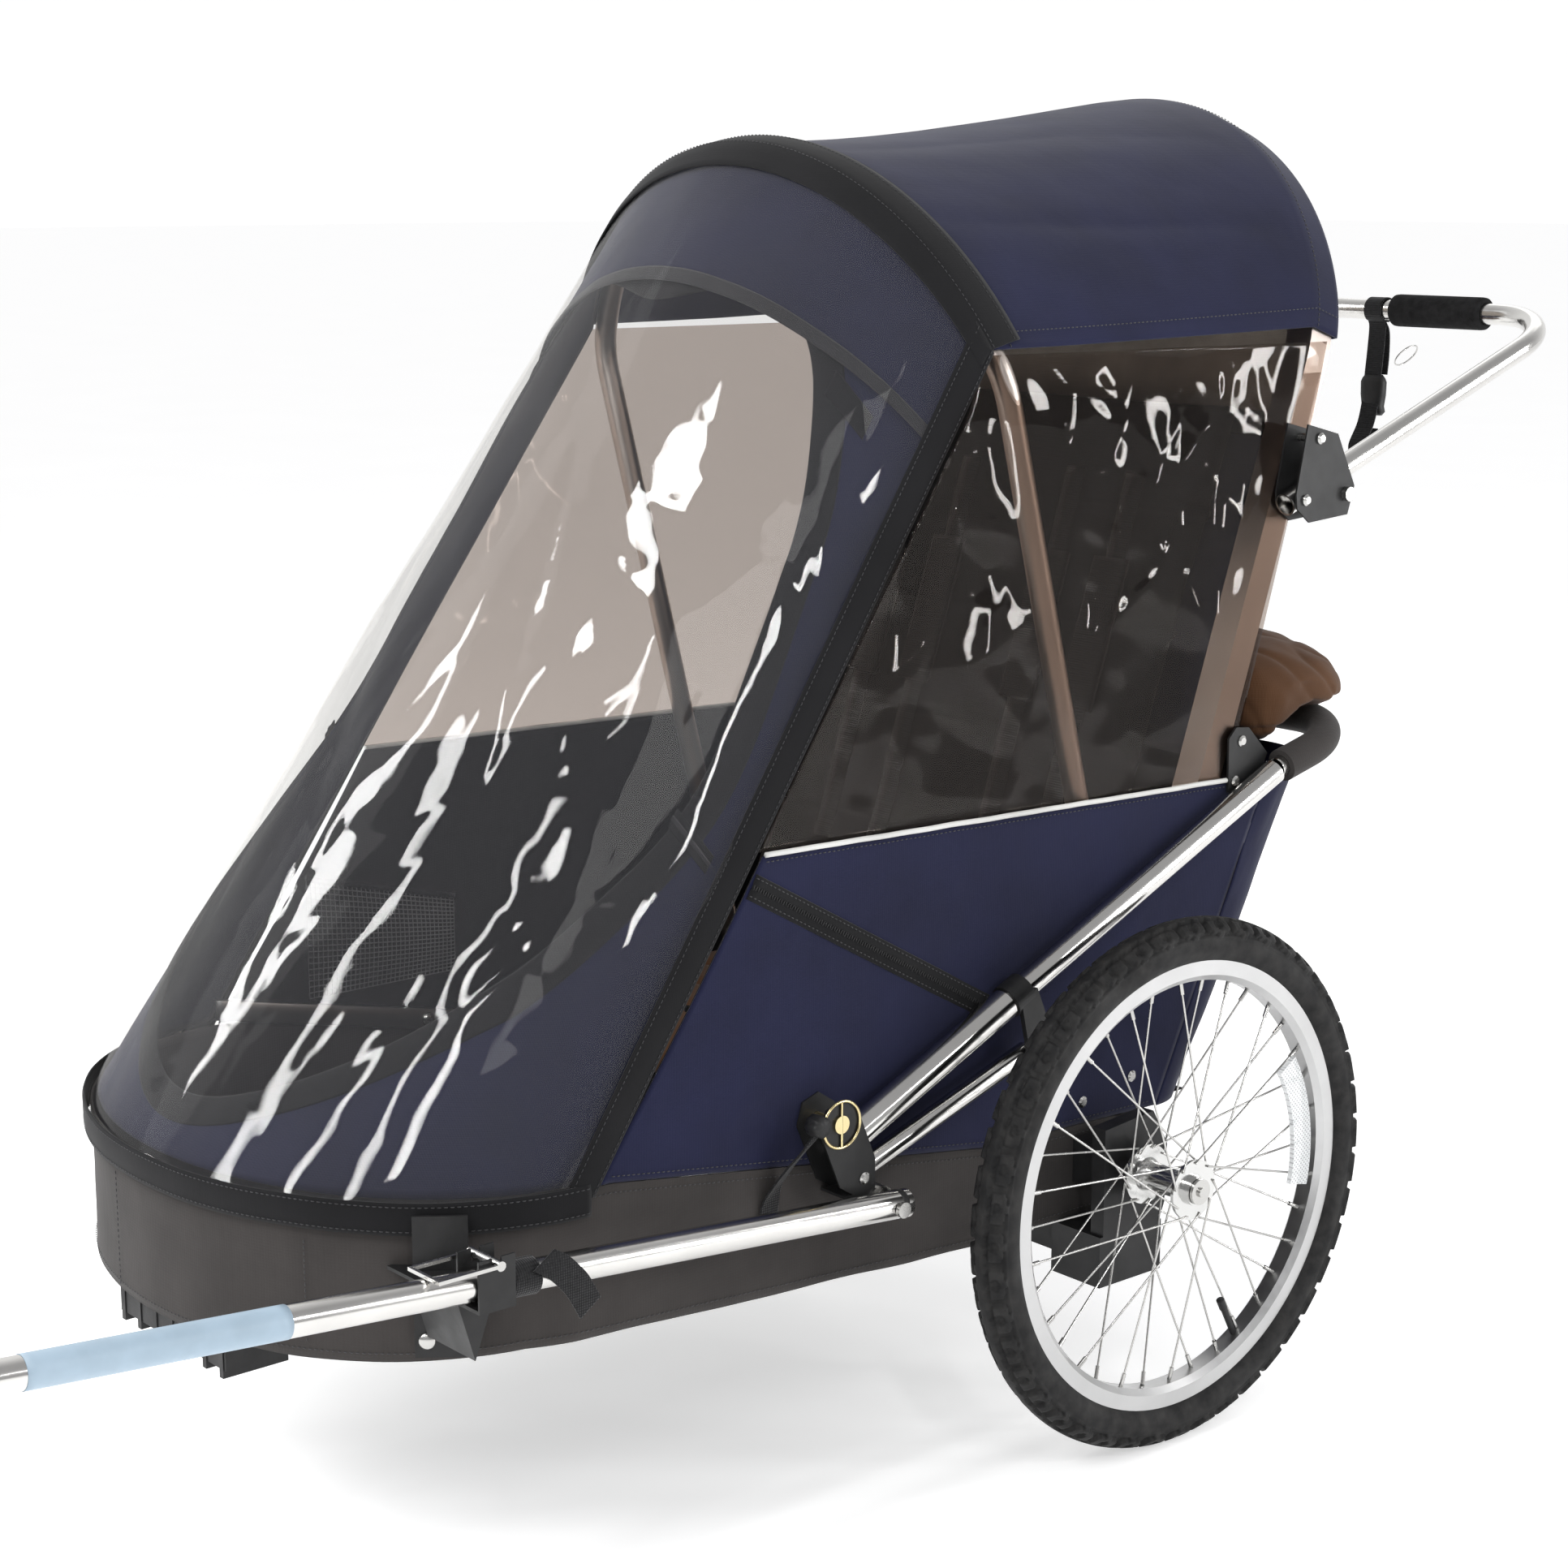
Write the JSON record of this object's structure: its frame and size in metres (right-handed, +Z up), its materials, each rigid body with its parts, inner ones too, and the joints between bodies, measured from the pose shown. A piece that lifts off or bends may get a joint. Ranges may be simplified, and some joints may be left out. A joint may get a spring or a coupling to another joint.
{
  "type": "child bicycle trailer",
  "caption": "Two-wheel bicycle trailer with a hooped fabric child cabin, clear rain cover, folding frame, adjustable push handle, luggage trunk and side tow arm.",
  "frame": {"origin": "centre of the bounding box's footprint, on the ground under the wheels", "axes": "+Z up; -Y is the trailer's nose and its direction of travel; +X is its left side, where the tow arm is"},
  "size_m": [0.8962, 2.1431, 1.2225],
  "materials": {
    "tyre": "matt black tread rubber",
    "alloy": "satin silver",
    "polished": "bright polished tube",
    "steel": "bright zinc",
    "black_metal": "satin black powder coat",
    "bronze_tube": "satin champagne anodised tube",
    "clear_plastic": "clear prismatic",
    "black_plastic": "matt black",
    "navy_fabric": "woven navy polyester",
    "charcoal_fabric": "coarse charcoal polyester",
    "black_fabric": "woven black webbing and lining",
    "brown_fabric": "soft brown quilted cotton",
    "taupe_fabric": "light taupe mesh lining",
    "vinyl": "clear flexible vinyl",
    "foam": "matt black foam",
    "brass": "bright brass wire",
    "smoke_vinyl": "smoke-tinted flexible vinyl",
    "rubber_black": "matt black"
  },
  "bodies": {
    "root": {"axle_shafts": "steel", "axle_brackets": "black_metal", "base_frame": "black_metal", "skirt_band": "charcoal_fabric", "floor_board": "black_plastic", "nose_skid": "black_plastic", "side_panel_left": "navy_fabric", "side_panel_right": "navy_fabric", "side_windows": "smoke_vinyl", "rear_trunk": "navy_fabric", "trunk_cover": "brown_fabric", "roof_canopy": "navy_fabric", "front_panel": "navy_fabric", "visor": "navy_fabric", "rain_cover": "vinyl", "cover_binding": "black_fabric", "hoop_pivots": "steel", "brace_tubes": "polished", "brace_sleeves": "polished", "brace_links": "polished", "brace_clips": "black_metal", "u_brackets": "black_metal", "rear_rail": "polished", "rail_sleeve": "charcoal_fabric", "brace_plates": "black_metal", "frame_bolts": "steel", "saddle_bracket": "black_metal", "seat_back": "black_fabric", "seat_cushion": "brown_fabric", "seat_base": "black_metal", "harness": "black_fabric", "mesh_pockets": "black_fabric"},
    "wheel_left": {"tyre_left": "tyre", "rim_left": "alloy", "hub_left": "polished", "spokes_left": "steel", "reflector_left": "clear_plastic"},
    "wheel_right": {"tyre_right": "tyre", "rim_right": "alloy", "hub_right": "polished", "spokes_right": "steel", "reflector_right": "clear_plastic"},
    "axle_button_left": {"axle_button_left": "steel"},
    "axle_button_right": {"axle_button_right": "steel"},
    "tow_arm": {"tow_arm": "polished", "hitch_coupler": "rubber_black", "hitch_eye": "black_metal", "saddle_pin": "steel"},
    "front_hoop": {"front_hoop": "bronze_tube"},
    "rear_frame": {"rear_hoop": "bronze_tube", "rear_screen": "taupe_fabric", "handle_plates": "black_metal", "handle_bolts": "steel"},
    "handle": {"handle_tube": "polished", "handle_grips": "foam", "wrist_strap": "black_fabric"},
    "handle_pin_left": {"handle_pin_left": "steel"},
    "handle_pin_right": {"handle_pin_right": "steel"},
    "ring_pin_left": {"ring_pin_left": "brass"},
    "ring_pin_right": {"ring_pin_right": "brass"}
  },
  "joints": [
    {"name": "wheel_left_spin", "type": "hinge", "parent": "root", "child": "wheel_left", "pos_m": [0.407, 0.38245, 0.247], "axis": [1, 0, 0], "continuous": true},
    {"name": "wheel_right_spin", "type": "hinge", "parent": "root", "child": "wheel_right", "pos_m": [-0.407, 0.38245, 0.247], "axis": [1, 0, 0], "continuous": true},
    {"name": "axle_button_left_press", "type": "slide", "parent": "root", "child": "axle_button_left", "axis": [-1, 0, 0], "range_m": [0, 0.003], "stiffness_N_per_m": 600},
    {"name": "axle_button_right_press", "type": "slide", "parent": "root", "child": "axle_button_right", "axis": [1, 0, 0], "range_m": [0, 0.003], "stiffness_N_per_m": 600},
    {"name": "tow_arm_swing", "type": "hinge", "parent": "root", "child": "tow_arm", "pos_m": [0.354, 0.08745, 0.2784], "axis": [-1, 0, 0], "range_deg": [0, 150]},
    {"name": "cabin_fold", "type": "hinge", "parent": "root", "child": "front_hoop", "pos_m": [0, 0.44345, 0.308], "axis": [1, 0, 0], "range_deg": [0, 48], "deforming": ["roof_canopy", "front_panel", "visor", "rain_cover", "cover_binding", "side_windows", "seat_back", "harness"]},
    {"name": "rear_hoop_fold", "type": "hinge", "parent": "front_hoop", "child": "rear_frame", "pos_m": [0, 0.44345, 0.308], "axis": [1, 0, 0], "range_deg": [0, 27]},
    {"name": "handle_tilt", "type": "hinge", "parent": "rear_frame", "child": "handle", "pos_m": [0.3175, 0.63145, 0.846], "axis": [1, 0, 0], "range_deg": [0, 34]},
    {"name": "handle_pin_left_pull", "type": "slide", "parent": "rear_frame", "child": "handle_pin_left", "axis": [1, 0, 0], "range_m": [0, 0.03]},
    {"name": "handle_pin_right_pull", "type": "slide", "parent": "rear_frame", "child": "handle_pin_right", "axis": [-1, 0, 0], "range_m": [0, 0.03]},
    {"name": "ring_pin_left_pull", "type": "slide", "parent": "root", "child": "ring_pin_left", "axis": [1, 0, 0], "range_m": [0, 0.045]},
    {"name": "ring_pin_right_pull", "type": "slide", "parent": "root", "child": "ring_pin_right", "axis": [-1, 0, 0], "range_m": [0, 0.045]}
  ],
  "couplings": [
    {"joint": "rear_hoop_fold", "follows": "cabin_fold", "ratio": 0.5625}
  ]
}
